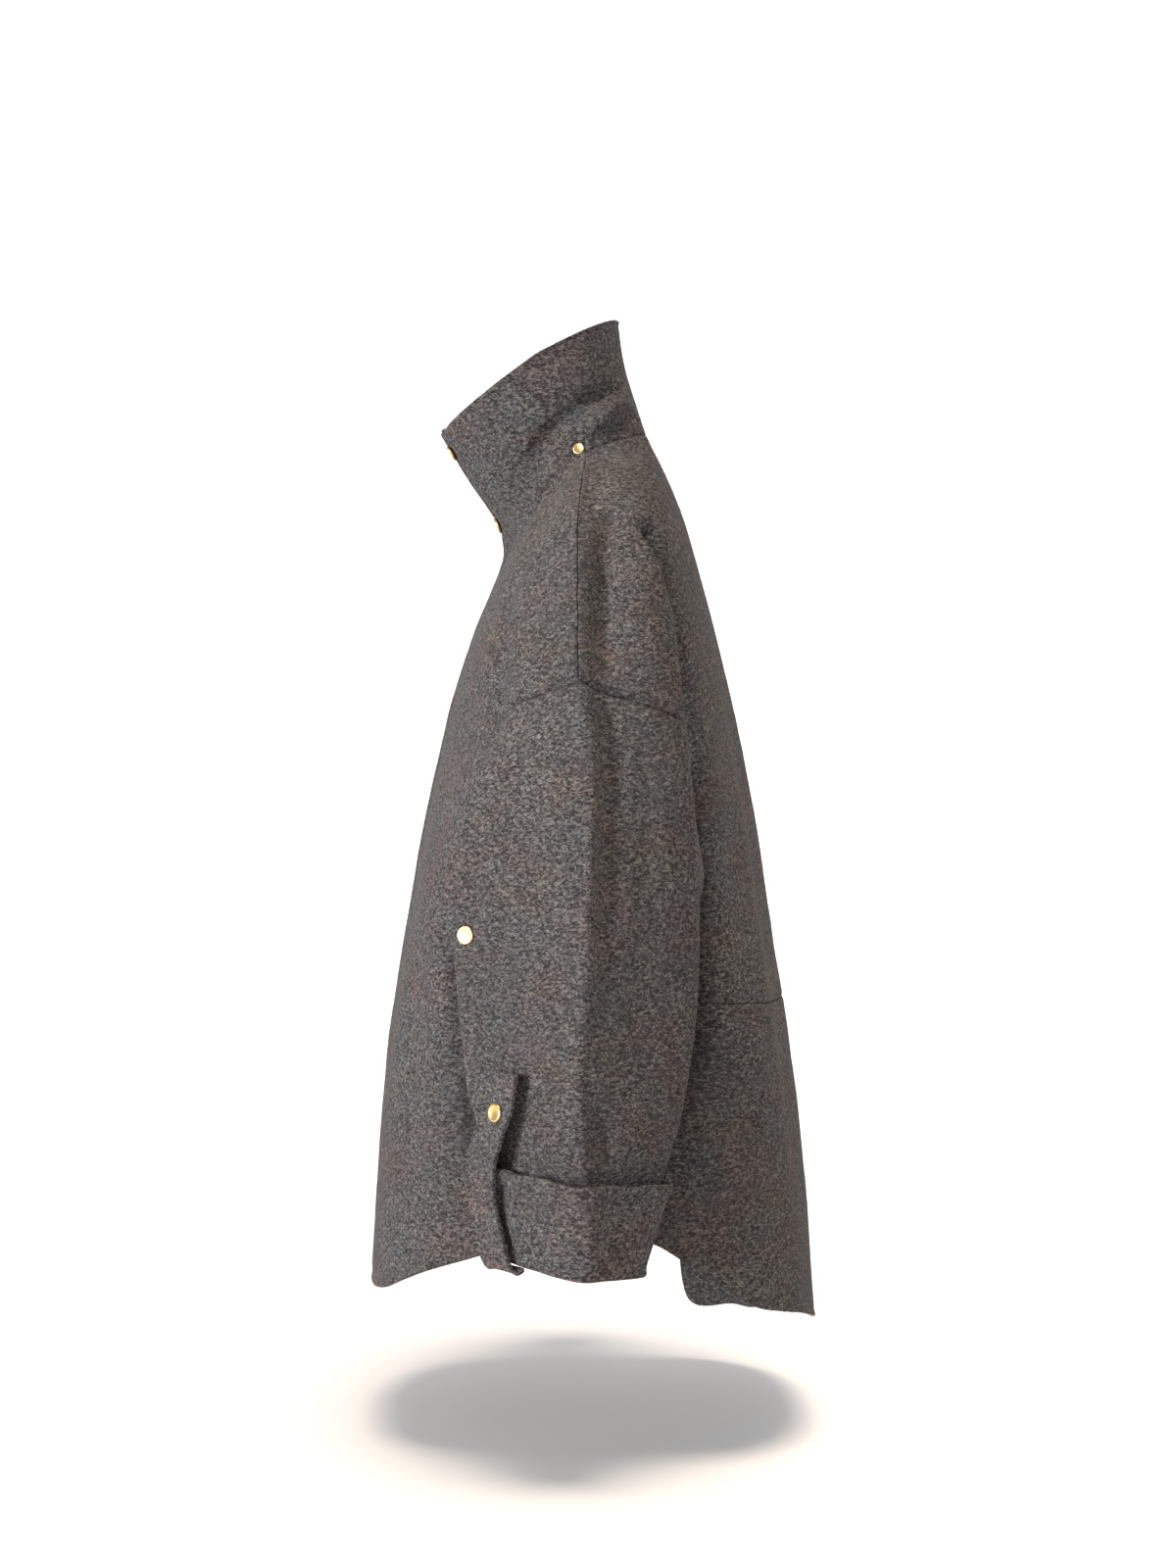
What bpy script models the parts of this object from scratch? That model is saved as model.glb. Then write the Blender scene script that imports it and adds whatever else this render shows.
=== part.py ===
# Stand-collar wool jacket in the hollow form it has when worn, arms hanging.
# Metres, +Z up. The front faces -Y and the wearer's left is +X. The origin lies between the
# neck ends of the two shoulder seams.
#
# The cloth is one continuous surface of rings. A ring runs half way round from the centre front
# to the centre back, over named lines such as the front valley, the ridge of the shoulder and
# sleeve, and the back valley. Panels are the stretches of that surface between two seams, given
# a wall on the inside and parted at the seams.
import math
from collections import namedtuple

import bmesh
import bpy
import numpy as np
from mathutils import Matrix, Vector

MM = 0.001
TINY = 1e-6

# Cloth and sewing
WALL = 2.4 * MM
SEAM_GAP = 0.3 * MM
PLACKET_HALF = 18 * MM
PLACKET_LIFT = 3.4 * MM

# Brass snaps
SNAP_RADIUS = 7.4 * MM
NECK_SNAP_RADIUS = 5.6 * MM
SNAP_HEIGHT = 2.6 * MM
SNAP_EDGE = 0.9 * MM
SNAP_SEAT = 0.5 * MM
SNAP_SIDES = 16

# Turned-back cuff: how far its inner side stands off the sleeve at the fold and at the rim
FOLD_DROP = 9 * MM
FOLD_STANDOFF = 5 * MM
RIM_STANDOFF = 7 * MM

# Strap that holds the cuff
TAB_WIDTH = 33 * MM
TAB_CLEARANCE = 0.9 * MM

# Lines down the garment, the angle of each round the neck and the ring segments after each
Line = namedtuple("Line", "name angle segments")
LINES = (
    Line("centre_front", 0, 3),
    Line("front_mid", 28, 3),
    Line("front_side", 47, 3),
    Line("front_valley", 60, 1),
    Line("front_inner", 66, 2),
    Line("front_edge", 72, 3),
    Line("front_face", 81, 3),
    Line("ridge", 90, 2),
    Line("trough", 98, 2),
    Line("back_face", 109, 2),
    Line("back_edge", 120, 2),
    Line("back_inner", 128, 1),
    Line("back_valley", 135, 3),
    Line("back_side", 149, 3),
    Line("back_mid", 164, 2),
    Line("centre_back", 180, 0),
)
NAMES = [line.name for line in LINES]
VALLEY, RIDGE, BACK_VALLEY, LAST = (
    sum(line.segments for line in LINES[: NAMES.index(name)])
    for name in ("front_valley", "ridge", "back_valley", "centre_back")
)
BODY_NAMES = [
    "centre_front", "front_mid", "front_side", "side", "back_side", "back_mid", "centre_back",
]
SLEEVE_NAMES = ["under"] + NAMES[4:12] + ["under_back"]

# Where the front and back panels' two middle lines lie between the centre and the valley or side,
# on a chest ring and on a body ring, and how square a body ring is: 1 is an ellipse
CHEST_SHARES = (0.42, 0.76)
BODY_SHARES = (0.30, 0.62)
BODY_SQUARENESS = 0.72

# Neck rings, in mm, from the collar's rim down to the neck line
Neck = namedtuple("Neck", "front_y front_z side_x side_y side_z back_y back_z rows")
NECK = (
    Neck(-128, 24, 74, -42, 84, 30, 124, 2),
    Neck(-100, -21, 72, -24, 58, 36, 84, 2),
    Neck(-77, -56, 70, -8, 28, 46, 49, 2),
    Neck(-71, -83, 72, 0, 0, 55, 22, 2),
)

# Shoulder and chest rings, in mm, down to the underarm. The armhole seam is ring ARMHOLE.
# turn is the angle that the front and back turn through between the centre and the valley.
Chest = namedtuple(
    "Chest",
    "front_y front_z valley_x valley_y valley_z edge_x edge_y ridge_x ridge_y ridge_z "
    "back_edge_x back_edge_y back_valley_x back_valley_y back_valley_z back_y back_z "
    "turn trough rows",
)
CHEST = (
    Chest(-77, -106, 103, -41, -54, 108, -29, 113, -2, -25, 105, 38, 92, 54, -16, 69, -10, 72, 2, 2),
    Chest(-91, -139, 142, -48, -81, 149, -34, 156, -4, -50, 147, 46, 131, 62, -46, 84, -46, 68, 4, 2),
    Chest(-104, -173, 175, -54, -112, 185, -39, 195, -6, -82, 184, 54, 162, 66, -80, 97, -86, 64, 5, 2),
    Chest(-117, -214, 198, -62, -166, 213, -48, 234, -6, -138, 217, 67, 181, 76, -146, 113, -146, 60, 6, 2),
    Chest(-127, -256, 207, -70, -236, 223, -62, 262, -5, -208, 236, 79, 188, 85, -250, 131, -226, 58, 5, 3),
    Chest(-141, -320, 212, -92, -302, 234, -90, 284, 2, -276, 243, 86, 193, 91, -318, 150, -322, 58, 3, 3),
    Chest(-154, -390, 211, -106, -372, 240, -112, 298, 3, -346, 244, 91, 197, 95, -386, 161, -396, 62, 1, 3),
)
ARMHOLE = len(NECK) + 4

# Underarm ring, where the two valleys meet, then the body rings down to the hem, in mm
Body = namedtuple("Body", "front_y front_z side_x side_y side_z back_y back_z rows")
UNDERARM = Chest(
    -165, -456, 214, 12, -458, 243, -103, 306, 1, -424, 243, 92, 214, 12, -458, 173, -477, 90, 0, 3
)
BODY = (
    Body(-176, -535, 207, 12, -525, 184, -552, 3),
    Body(-184, -640, 209, 10, -600, 196, -660, 3),
)
HEM_FRONT_Y = -189
HEM_SIDE = (212, 8)
HEM_BACK_Y = 203
Hem = namedtuple("Hem", " ".join(BODY_NAMES))
HEM_LEFT = Hem(-723, -718, -689, -662, -720, -740, -762)
HEM_RIGHT = Hem(-723, -718, -689, -668, -793, -779, -762)

# Hem points behind the side line, where the left hem stays high for longer and the right back
# hangs lower from a corner: column of the hem, y and height in mm
HEM_LEFT_BEND = ((10, 56, -665), (11, 97, -693))
HEM_RIGHT_BEND = ((10, 85, -714), (11, 97.5, -792))

# Sleeve rings below the underarm, in mm, down to the sleeve's end
Sleeve = namedtuple(
    "Sleeve",
    "under_x under_y under_z edge_x edge_y edge_z ridge_x ridge_y ridge_z "
    "back_edge_x back_edge_y back_edge_z tuck rows",
)
SLEEVE = (
    Sleeve(222, 4, -510, 244, -99, -494, 307, -2, -490, 245, 87, -502, 9, 2),
    Sleeve(227, -2, -562, 247, -92, -548, 305, -3, -552, 248, 76, -561, 8, 2),
    Sleeve(231, -5, -602, 250, -79, -591, 303, -1, -603, 251, 62, -607, 7, 3),
    Sleeve(234, -8, -664, 253, -72, -655, 298, -2, -668, 253, 43, -672, 7, 0),
)
CUFF_RINGS = 3

# How far the sleeve's two outer faces stand out from the straight line between their edges, on a
# sleeve whose front face is at least FACE_REACH wide, and where the back face's two lines lie
FACE_BULGE = 5 * MM
BACK_BULGE = 6 * MM
TROUGH_BULGE = 3.6 * MM
FACE_REACH = 80 * MM
FACE_SHARE = 0.5
TROUGH_SHARE = 0.24
BACK_FACE_SHARE = 0.62
UNDERARM_TUCK = 8 * MM

# How far an edge's height on a chest ring lies from its valley's towards the ridge's
EDGE_HEIGHT_SHARE = 0.3

# A chest ring that turns through less than the first angle is a plain arc, and one that turns
# through the second is shaped as a body ring
ARC_TURN = 60
BODY_TURN = 90

# Strap over the cuff: the way it faces, from the side towards the front, and its route from the
# top end down: sleeve ring, how far forward its middle lies in mm, and 1 where the cuff is under it
TAB_FACING = math.radians(48)
TAB_ROUTE = (
    (3.9, -58.5, 0),
    (4.45, -60.5, 0.07),
    (5.0, -62.5, 0.15),
    (5.6, -66.5, 0.45),
    (6.3, -70.5, 0.8),
    (7.0, -74, 1),
    (8.5, -74, 1),
    (10.0, -67, 1),
)
TAB_DROP = 20 * MM
TAB_SHIFT = 9 * MM

# Snaps: ring and line of each on its patch
NECK_SNAP = (5.5, RIDGE - 1.2)
FRONT_SNAPS = (0.7, 4.1)
SLEEVE_SNAP = (23.77, VALLEY + 4.17)
SLEEVE_SNAP_FACING = VALLEY + 4.97
TAB_SNAP_STOP = 2

# Colours as linear values
WOOL = (0.060, 0.056, 0.053)
BRASS = (0.72, 0.50, 0.21)

METAL = {"snap"}


# Curves through the named points

def spline(points, counts, before=None, after=None):
    """Points along a centripetal curve: each span gives its own count of steps."""
    points = [np.array(p, float) for p in points]
    first = 2 * points[0] - points[1] if before is None else np.array(before, float)
    last = 2 * points[-1] - points[-2] if after is None else np.array(after, float)
    knots = [first] + points + [last]
    out = []
    for i, count in enumerate(counts):
        p0, p1, p2, p3 = knots[i : i + 4]
        pairs = ((p0, p1), (p1, p2), (p2, p3))
        t01, t12, t23 = (max(np.linalg.norm(b - a), TINY) ** 0.5 for a, b in pairs)
        m1 = p2 - p1 + t12 * ((p1 - p0) / t01 - (p2 - p0) / (t01 + t12))
        m2 = p2 - p1 + t12 * ((p3 - p2) / t23 - (p3 - p1) / (t12 + t23))
        for step in range(count):
            s = step / count
            out.append(
                (2 * s**3 - 3 * s**2 + 1) * p1
                + (s**3 - 2 * s**2 + s) * m1
                + (3 * s**2 - 2 * s**3) * p2
                + (s**3 - s**2) * m2
            )
    out.append(points[-1])
    return out


def mirrored(point):
    return np.array((-point[0], point[1], point[2]))


def lerp(a, b, share):
    return (1 - share) * np.array(a, float) + share * np.array(b, float)


def arc_points(centre, end, turn):
    """The two middle points of the arc from a centre line, where it runs sideways, to end."""
    angle = math.radians(turn)
    wrapped = max(0.0, (turn - ARC_TURN) / (BODY_TURN - ARC_TURN))
    power = 1 + (BODY_SQUARENESS - 1) * wrapped
    points = []
    for chest_share, body_share in zip(CHEST_SHARES, BODY_SHARES):
        part = angle * (chest_share + (body_share - chest_share) * wrapped)
        across = (math.sin(part) / math.sin(angle)) ** power
        along = (1 - math.cos(part) ** power) / (1 - max(math.cos(angle), 0.0) ** power)
        points.append(np.array((end[0] * across, *(centre[1:] + (end[1:] - centre[1:]) * along))))
    return points


def beside(a, b, share, stand_off):
    """A point on the way from a to b in plan, moved out to the right of that way."""
    point = lerp(a, b, share)
    way = np.array((b[0] - a[0], b[1] - a[1], 0.0))
    out = np.array((way[1], -way[0], 0.0)) / max(np.linalg.norm(way), TINY)
    return point + out * stand_off


# Named points of each ring

def neck_ring(row):
    points = {}
    for line in LINES:
        angle = math.radians(line.angle)
        side = np.array((row.side_x * math.sin(angle), row.side_y, row.side_z))
        end = (row.front_y, row.front_z) if line.angle < 90 else (row.back_y, row.back_z)
        side[1:] += (np.array(end) - side[1:]) * abs(math.cos(angle))
        points[line.name] = side * MM
    return points


def face_points(points, tuck, trough):
    """Adds the sleeve's own lines between its two valleys."""
    edge, ridge, back_edge = points["front_edge"], points["ridge"], points["back_edge"]
    lean = np.array((-tuck, 0, 0))
    points["front_inner"] = lerp(points["front_valley"], edge, FACE_SHARE) + lean
    points["back_inner"] = lerp(points["back_valley"], back_edge, FACE_SHARE) + lean
    reach = min(1.0, np.linalg.norm(ridge - edge) / FACE_REACH)
    points["front_face"] = beside(edge, ridge, FACE_SHARE, FACE_BULGE * reach)
    points["trough"] = beside(ridge, back_edge, TROUGH_SHARE, TROUGH_BULGE * reach - trough)
    points["back_face"] = beside(ridge, back_edge, BACK_FACE_SHARE, BACK_BULGE * reach)
    return points


def chest_ring(row, tuck=0.0):
    front = np.array((0, row.front_y, row.front_z)) * MM
    back = np.array((0, row.back_y, row.back_z)) * MM
    valley = np.array((row.valley_x, row.valley_y, row.valley_z)) * MM
    back_valley = np.array((row.back_valley_x, row.back_valley_y, row.back_valley_z)) * MM
    points = {"centre_front": front, "front_valley": valley}
    points.update({"back_valley": back_valley, "centre_back": back})
    points["ridge"] = np.array((row.ridge_x, row.ridge_y, row.ridge_z)) * MM
    edge_z = row.valley_z + (row.ridge_z - row.valley_z) * EDGE_HEIGHT_SHARE
    back_edge_z = row.back_valley_z + (row.ridge_z - row.back_valley_z) * EDGE_HEIGHT_SHARE
    points["front_edge"] = np.array((row.edge_x, row.edge_y, edge_z)) * MM
    points["back_edge"] = np.array((row.back_edge_x, row.back_edge_y, back_edge_z)) * MM
    points["front_mid"], points["front_side"] = arc_points(front, valley, row.turn)
    points["back_mid"], points["back_side"] = arc_points(back, back_valley, row.turn)
    return face_points(points, tuck, row.trough * MM)


def body_ring(front_y, front_z, side_x, side_y, side_z, back_y, back_z):
    front = np.array((0, front_y, front_z)) * MM
    back = np.array((0, back_y, back_z)) * MM
    side = np.array((side_x, side_y, side_z)) * MM
    points = {"centre_front": front, "side": side, "centre_back": back}
    points["front_mid"], points["front_side"] = arc_points(front, side, BODY_TURN)
    points["back_mid"], points["back_side"] = arc_points(back, side, BODY_TURN)
    return points


def hem_ring(hem):
    points = body_ring(HEM_FRONT_Y, hem.centre_front, *HEM_SIDE, hem.side, HEM_BACK_Y, hem.centre_back)
    for name, height in hem._asdict().items():
        points[name][2] = height * MM
    return points


def sleeve_ring(row):
    under = np.array((row.under_x, row.under_y, row.under_z)) * MM
    points = {"front_valley": under, "back_valley": under}
    points["front_edge"] = np.array((row.edge_x, row.edge_y, row.edge_z)) * MM
    points["ridge"] = np.array((row.ridge_x, row.ridge_y, row.ridge_z)) * MM
    points["back_edge"] = np.array((row.back_edge_x, row.back_edge_y, row.back_edge_z)) * MM
    points = face_points(points, row.tuck * MM, 0.0)
    points["under"] = points["under_back"] = under
    return points


# Grids: one ring of points for each row

FINE_STEPS = 40


def half_ring(points, names, counts, closed=False):
    """Points along a half ring, with the placket's edge as the first step from the centre front."""
    route = [points[name] for name in names]
    if closed:
        return spline(route, counts, before=route[-2], after=route[1])
    out = spline(route, counts, before=mirrored(route[1]), after=mirrored(route[-2]))
    fine_counts = [FINE_STEPS] + [1] * (len(route) - 2)
    fine = np.array(spline(route, fine_counts, before=mirrored(route[1]))[: FINE_STEPS + 1])
    shares = np.linspace(0, 1, FINE_STEPS + 1)
    share = np.interp(PLACKET_HALF, fine[:, 0], shares)
    for step in range(1, counts[0]):
        place = share + (1 - share) * (step - 1) / (counts[0] - 1)
        out[step] = np.array([np.interp(place, shares, fine[:, k]) for k in range(3)])
    return out


def slide(ring, column, y, z):
    """Moves a hem point along its ring to where the ring has this y, and to this height."""
    points = np.array(ring)
    x = np.interp(y, points[:, 1], points[:, 0])
    ring[column] = np.array((x, y, z))


def top_ring(points, apart):
    """A whole half ring above the underarm. apart is 1 where body and sleeve curve by themselves."""
    counts = [line.segments for line in LINES[:-1]]
    joined = np.array(half_ring(points, NAMES, counts))
    body_counts = counts[:3] + [1] + counts[12:]
    body_names = NAMES[:4] + NAMES[12:]
    body = np.array(half_ring(points, body_names, body_counts))
    sleeve = np.array(half_ring(points, NAMES[3:13], counts[3:12], closed=True))
    parted = np.concatenate([body[: VALLEY + 1], sleeve[1:-1], body[VALLEY + 1 :]])
    return (1 - apart) * joined + apart * parted


def dense_lines(rings, names, counts):
    lines = {name: spline([ring[name] for ring in rings], counts) for name in names}
    rows = sum(counts) + 1
    return [{name: lines[name][row] for name in names} for row in range(rows)]


def grids(hem, bend=()):
    """The rings of one half: above the underarm, the body below it and the sleeve below it."""
    neck = [neck_ring(row) for row in NECK]
    chest = [chest_ring(row) for row in CHEST]
    underarm = chest_ring(UNDERARM, UNDERARM_TUCK)
    body = [body_ring(*row[:-1]) for row in BODY] + [hem_ring(hem)]
    sleeve = [sleeve_ring(row) for row in SLEEVE]
    top = neck + chest + [underarm]
    top_counts = [row.rows for row in NECK + CHEST]
    body_counts = [UNDERARM.rows] + [row.rows for row in BODY]
    sleeve_counts = [UNDERARM.rows] + [row.rows for row in SLEEVE[:-1]]
    split = sum(top_counts)
    body_lines = [name for name in BODY_NAMES if name != "side"]
    sleeve_lines = NAMES[4:12]
    upper_body = dense_lines(top + body, body_lines, top_counts + body_counts)
    upper_sleeve = dense_lines(top + sleeve, sleeve_lines, top_counts + sleeve_counts)
    valleys = dense_lines(top, ["front_valley", "back_valley"], top_counts)
    underarm_side = {"side": underarm["front_valley"]}
    sides = dense_lines([underarm_side] + body, ["side"], body_counts)
    unders = dense_lines([{"under": underarm["front_valley"]}] + sleeve, ["under"], sleeve_counts)
    parting = sum(top_counts[: ARMHOLE])
    upper = []
    for row in range(split + 1):
        points = {**upper_body[row], **upper_sleeve[row], **valleys[row]}
        share = min(1.0, max(0.0, (row - parting) / (split - parting)))
        upper.append(top_ring(points, share * share * (3 - 2 * share)))
    counts = [line.segments for line in LINES[:-1]]
    side_counts = counts[:3] + counts[12:]
    lower = [upper[-1][: VALLEY + 1].tolist() + upper[-1][BACK_VALLEY + 1 :].tolist()]
    for row in range(1, sum(body_counts) + 1):
        points = {**upper_body[split + row], **sides[row]}
        lower.append(half_ring(points, BODY_NAMES, side_counts))
    for column, y, z in bend:
        slide(lower[-1], column, y * MM, z * MM)
    arm = [upper[-1][VALLEY : BACK_VALLEY + 1]]
    for row in range(1, sum(sleeve_counts) + 1):
        points = {**upper_sleeve[split + row], "under": unders[row]["under"]}
        points["under_back"] = points["under"]
        arm.append(half_ring(points, SLEEVE_NAMES, counts[3:12], closed=True))
    return upper, lower, arm


# The whole surface, with every face marked with its panel

class Cloth:
    def __init__(self):
        self.places = []
        self.index = {}
        self.faces = []

    def vertex(self, key, place):
        if key not in self.index:
            self.index[key] = len(self.places)
            self.places.append(np.array(place, float))
        return self.index[key]

    def face(self, corners, panel):
        corners = list(dict.fromkeys(corners))
        self.faces.append((corners, panel))

    def triangles(self):
        """Every face as triangles, cut along its shorter diagonal."""
        for corners, panel in self.faces:
            if len(corners) == 3:
                yield corners, panel
                continue
            a, b, c, d = corners
            places = self.places
            if np.linalg.norm(places[a] - places[c]) <= np.linalg.norm(places[b] - places[d]):
                yield (a, b, c), panel
                yield (a, c, d), panel
            else:
                yield (a, b, d), panel
                yield (b, c, d), panel

    def normals(self):
        """Each point's outward direction, from all the faces round it on both sides of a seam."""
        sums = np.zeros((len(self.places), 3))
        for corners, _ in self.triangles():
            pts = [self.places[c] for c in corners]
            for k in range(3):
                a, b, c = pts[k], pts[(k + 1) % 3], pts[(k + 2) % 3]
                normal = np.cross(b - a, c - a)
                size = max(np.linalg.norm(normal), TINY * TINY)
                cosine = np.dot(b - a, c - a) / (np.linalg.norm(b - a) * np.linalg.norm(c - a))
                sums[corners[k]] += normal / size * math.acos(max(-1.0, min(1.0, cosine)))
        return sums / np.maximum(np.linalg.norm(sums, axis=1), TINY)[:, None]


def add_half(cloth, side, hem, bend):
    """One half of the jacket. side is 1 for the wearer's left and -1 for the right."""
    upper, lower, arm = grids(hem, bend)
    name = "left" if side > 0 else "right"
    turned = np.array((side, 1, 1))
    rows = len(upper) - 1
    neck_rows = sum(row.rows for row in NECK[:-1])
    armhole_row = sum(row.rows for row in NECK + CHEST[: ARMHOLE - len(NECK)])

    def top(i, j):
        if i == rows and j == BACK_VALLEY:
            j = VALLEY
        own = 0 if j == LAST else side
        return cloth.vertex(("top", own, i, j), upper[i][j] * turned)

    def body(i, j):
        if i == 0:
            return top(rows, j if j <= VALLEY else j + BACK_VALLEY - VALLEY)
        own = 0 if j == VALLEY + LAST - BACK_VALLEY else side
        return cloth.vertex(("body", own, i, j), lower[i][j] * turned)

    def sleeve(i, j):
        if i == 0:
            return top(rows, VALLEY + j)
        if j == BACK_VALLEY - VALLEY:
            j = 0
        return cloth.vertex(("sleeve", side, i, j), arm[i][j] * turned)

    def quad(grid, i, j, panel):
        corners = (grid(i, j), grid(i + 1, j), grid(i + 1, j + 1), grid(i, j + 1))
        cloth.face(corners if side > 0 else corners[::-1], panel)

    front, cut_sleeve = "front_" + name, "sleeve_" + name
    for i in range(rows):
        for j in range(LAST):
            if i < neck_rows or j < (RIDGE if i < armhole_row else VALLEY):
                panel = front
            elif i >= armhole_row and j < BACK_VALLEY:
                panel = cut_sleeve
            else:
                panel = "back_upper"
            quad(top, i, j, panel)
    for i in range(len(lower) - 1):
        for j in range(VALLEY + LAST - BACK_VALLEY):
            quad(body, i, j, front if j < VALLEY else "back_lower")
    for i in range(len(arm) - 1):
        for j in range(BACK_VALLEY - VALLEY):
            quad(sleeve, i, j, cut_sleeve)
    add_placket(cloth, side, front, upper, lower)
    return arm


def add_placket(cloth, side, panel, upper, lower):
    """The strip of this front that runs past the centre front."""
    rings = [("top", i, ring) for i, ring in enumerate(upper)]
    rings += [("body", i, ring) for i, ring in enumerate(lower) if i]
    flipped = np.array((-side, 1, 1))
    pairs = []
    for part, i, ring in rings:
        centre = cloth.index[(part, side, i, 0)]
        edge = cloth.vertex((part, side, i, "placket"), np.array(ring[1]) * flipped)
        pairs.append((centre, edge))
    for (centre, edge), (centre_below, edge_below) in zip(pairs, pairs[1:]):
        corners = (edge, edge_below, centre_below, centre)
        cloth.face(corners if side > 0 else corners[::-1], panel)


def lift_placket(cloth, side, upper_rows, lower_rows, normals):
    """Raises the overlapping front clear of the one below it."""
    for part, count in (("top", upper_rows), ("body", lower_rows)):
        for i in range(count):
            for j in ("placket", 0, 1):
                key = (part, side, i, j)
                if key in cloth.index:
                    cloth.places[cloth.index[key]] += normals[cloth.index[key]] * PLACKET_LIFT


# Solids

# The least that a corner's two inward ways may add up to, so that a sharp corner isn't moved far
CORNER_SPREAD = 0.35


def wall_mesh(places, normals, triangles, parted=True, wall=WALL):
    """(points, faces) of the closed wall on the inside of some triangles of a surface."""
    used = sorted({corner for triangle in triangles for corner in triangle})
    local = {vertex: k for k, vertex in enumerate(used)}
    edges = {}
    for a, b, c in triangles:
        for edge in ((a, b), (b, c), (c, a)):
            edges[edge] = True
    border = [edge for edge in edges if edge[::-1] not in edges]
    shift = np.zeros((len(used), 3))
    inward = {}
    for a, b in border:
        for vertex in (a, b):
            across = np.cross(normals[vertex], places[b] - places[a])
            inward.setdefault(vertex, []).append(across / max(np.linalg.norm(across), TINY))
    if parted:
        for vertex, directions in inward.items():
            total = sum(directions)
            spread = max(CORNER_SPREAD, np.dot(total, directions[0]))
            shift[local[vertex]] = total / spread * SEAM_GAP / 2
    tops = np.array([places[v] for v in used]) + shift
    downs = tops - np.array([normals[v] for v in used]) * wall
    points = np.concatenate([tops, downs])
    count = len(used)
    faces = [[local[v] for v in triangle] for triangle in triangles]
    faces += [[local[v] + count for v in reversed(triangle)] for triangle in triangles]
    for a, b in border:
        faces.append([local[b], local[a], local[a] + count, local[b] + count])
    return points, faces


def material(name, colour, roughness, metallic):
    made = bpy.data.materials.get(name) or bpy.data.materials.new(name)
    made.use_nodes = True
    shader = made.node_tree.nodes["Principled BSDF"]
    shader.inputs["Base Color"].default_value = (*colour, 1)
    shader.inputs["Roughness"].default_value = roughness
    shader.inputs["Metallic"].default_value = metallic
    return made


def add_object(name, mesh):
    if name.split("_")[0] in METAL:
        mesh.materials.append(material(name, BRASS, 0.28, 1.0))
    else:
        mesh.materials.append(material(name, WOOL, 0.95, 0.0))
    made = bpy.data.objects.new(name, mesh)
    bpy.context.scene.collection.objects.link(made)
    return made


def add_solid(name, points, faces):
    mesh = bpy.data.meshes.new(name)
    mesh.from_pydata([tuple(p) for p in points], [], [tuple(f) for f in faces])
    bm = bmesh.new()
    bm.from_mesh(mesh)
    bmesh.ops.triangulate(bm, faces=bm.faces[:])
    bm.to_mesh(mesh)
    bm.free()
    return add_object(name, mesh)


# Steps of a grid between which its direction is read
READ_STEP = 0.35


class Patch:
    """A grid of points that can be read at any place between them, with its outward direction."""

    def __init__(self, rings, side):
        self.rings = np.array(rings, float) * np.array((side, 1, 1))
        self.side = side

    def at(self, row, column):
        rows, columns = self.rings.shape[:2]
        row = min(max(row, 0.0), rows - 1.0)
        column = min(max(column, 0.0), columns - 1.0)
        i, j = min(int(row), rows - 2), min(int(column), columns - 2)
        u, v = row - i, column - j
        g = self.rings
        above = (1 - v) * g[i, j] + v * g[i, j + 1]
        below = (1 - v) * g[i + 1, j] + v * g[i + 1, j + 1]
        return (1 - u) * above + u * below

    def normal(self, row, column):
        down = self.at(row + READ_STEP, column) - self.at(row - READ_STEP, column)
        across = self.at(row, column + READ_STEP) - self.at(row, column - READ_STEP)
        out = np.cross(down, across) * self.side
        return out / np.linalg.norm(out)


FOLD_ANGLES = (0, 60, 120, 180)


def cuff_rings(arm):
    """Rings of the turned-back cuff: down from the sleeve's end, round the fold and up outside."""
    patch = Patch(arm, 1)
    last = len(arm) - 1
    columns = len(arm[0])

    def ring(row, out, drop):
        normals = [patch.normal(row, j) for j in range(columns)]
        normals[0] = normals[-1] = np.array((-1.0, 0.0, 0.0))
        return [arm[row][j] + normals[j] * out - np.array((0, 0, drop)) for j in range(columns)]

    rings = [ring(last, 0, 0)]
    for angle in FOLD_ANGLES:
        turn = math.radians(angle)
        out = FOLD_STANDOFF / 2 * (1 - math.cos(turn))
        drop = FOLD_DROP - FOLD_STANDOFF / 2 + FOLD_STANDOFF / 2 * math.sin(turn)
        rings.append(ring(last, out, drop))
    for step in range(CUFF_RINGS + 1):
        share = step / CUFF_RINGS
        rings.append(ring(last - step, FOLD_STANDOFF + (RIM_STANDOFF - FOLD_STANDOFF) * share, 0))
    return rings


def add_cuff(name, arm, side):
    cloth = Cloth()
    rings = cuff_rings(arm)
    columns = len(rings[0]) - 1
    turned = np.array((side, 1, 1))

    def point(i, j):
        return cloth.vertex((i, j % columns), rings[i][j % columns] * turned)

    for i in range(len(rings) - 1):
        for j in range(columns):
            corners = (point(i, j), point(i + 1, j), point(i + 1, j + 1), point(i, j + 1))
            cloth.face(corners if side > 0 else corners[::-1], name)
    triangles = [corners for corners, _ in cloth.triangles()]
    return add_solid(name, *wall_mesh(cloth.places, cloth.normals(), triangles))


# The strap's cloth is set on points read this many to a column, and it turns in under the fold
STRAP_SAMPLES = 20
STRAP_LEVEL = 1.5 * MM
STRAP_TURN = (30, 60, 90, 120)


def strap_support(patch, row, middle_y, out):
    """The middle of the strap's outer side where it lies flat over a ring that stands out by out."""
    facing = np.array((math.cos(TAB_FACING), -math.sin(TAB_FACING), 0)) * np.array((patch.side, 1, 1))
    across = np.cross(facing, (0.0, 0.0, 1.0)) * -patch.side
    columns = patch.rings.shape[1] - 1
    ring = [patch.at(row, column) for column in np.linspace(0, columns, STRAP_SAMPLES * columns)]
    level = [p for p in ring if abs(p[1] - middle_y) < STRAP_LEVEL]
    near = max(level, key=lambda p: p[0] * patch.side)
    place = np.dot(near, across)
    under = [p for p in ring if abs(np.dot(p, across) - place) < TAB_WIDTH / 2 + out]
    reach = max(np.dot(p, facing) for p in under)
    return across * place + facing * (reach + out), near[2]


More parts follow.
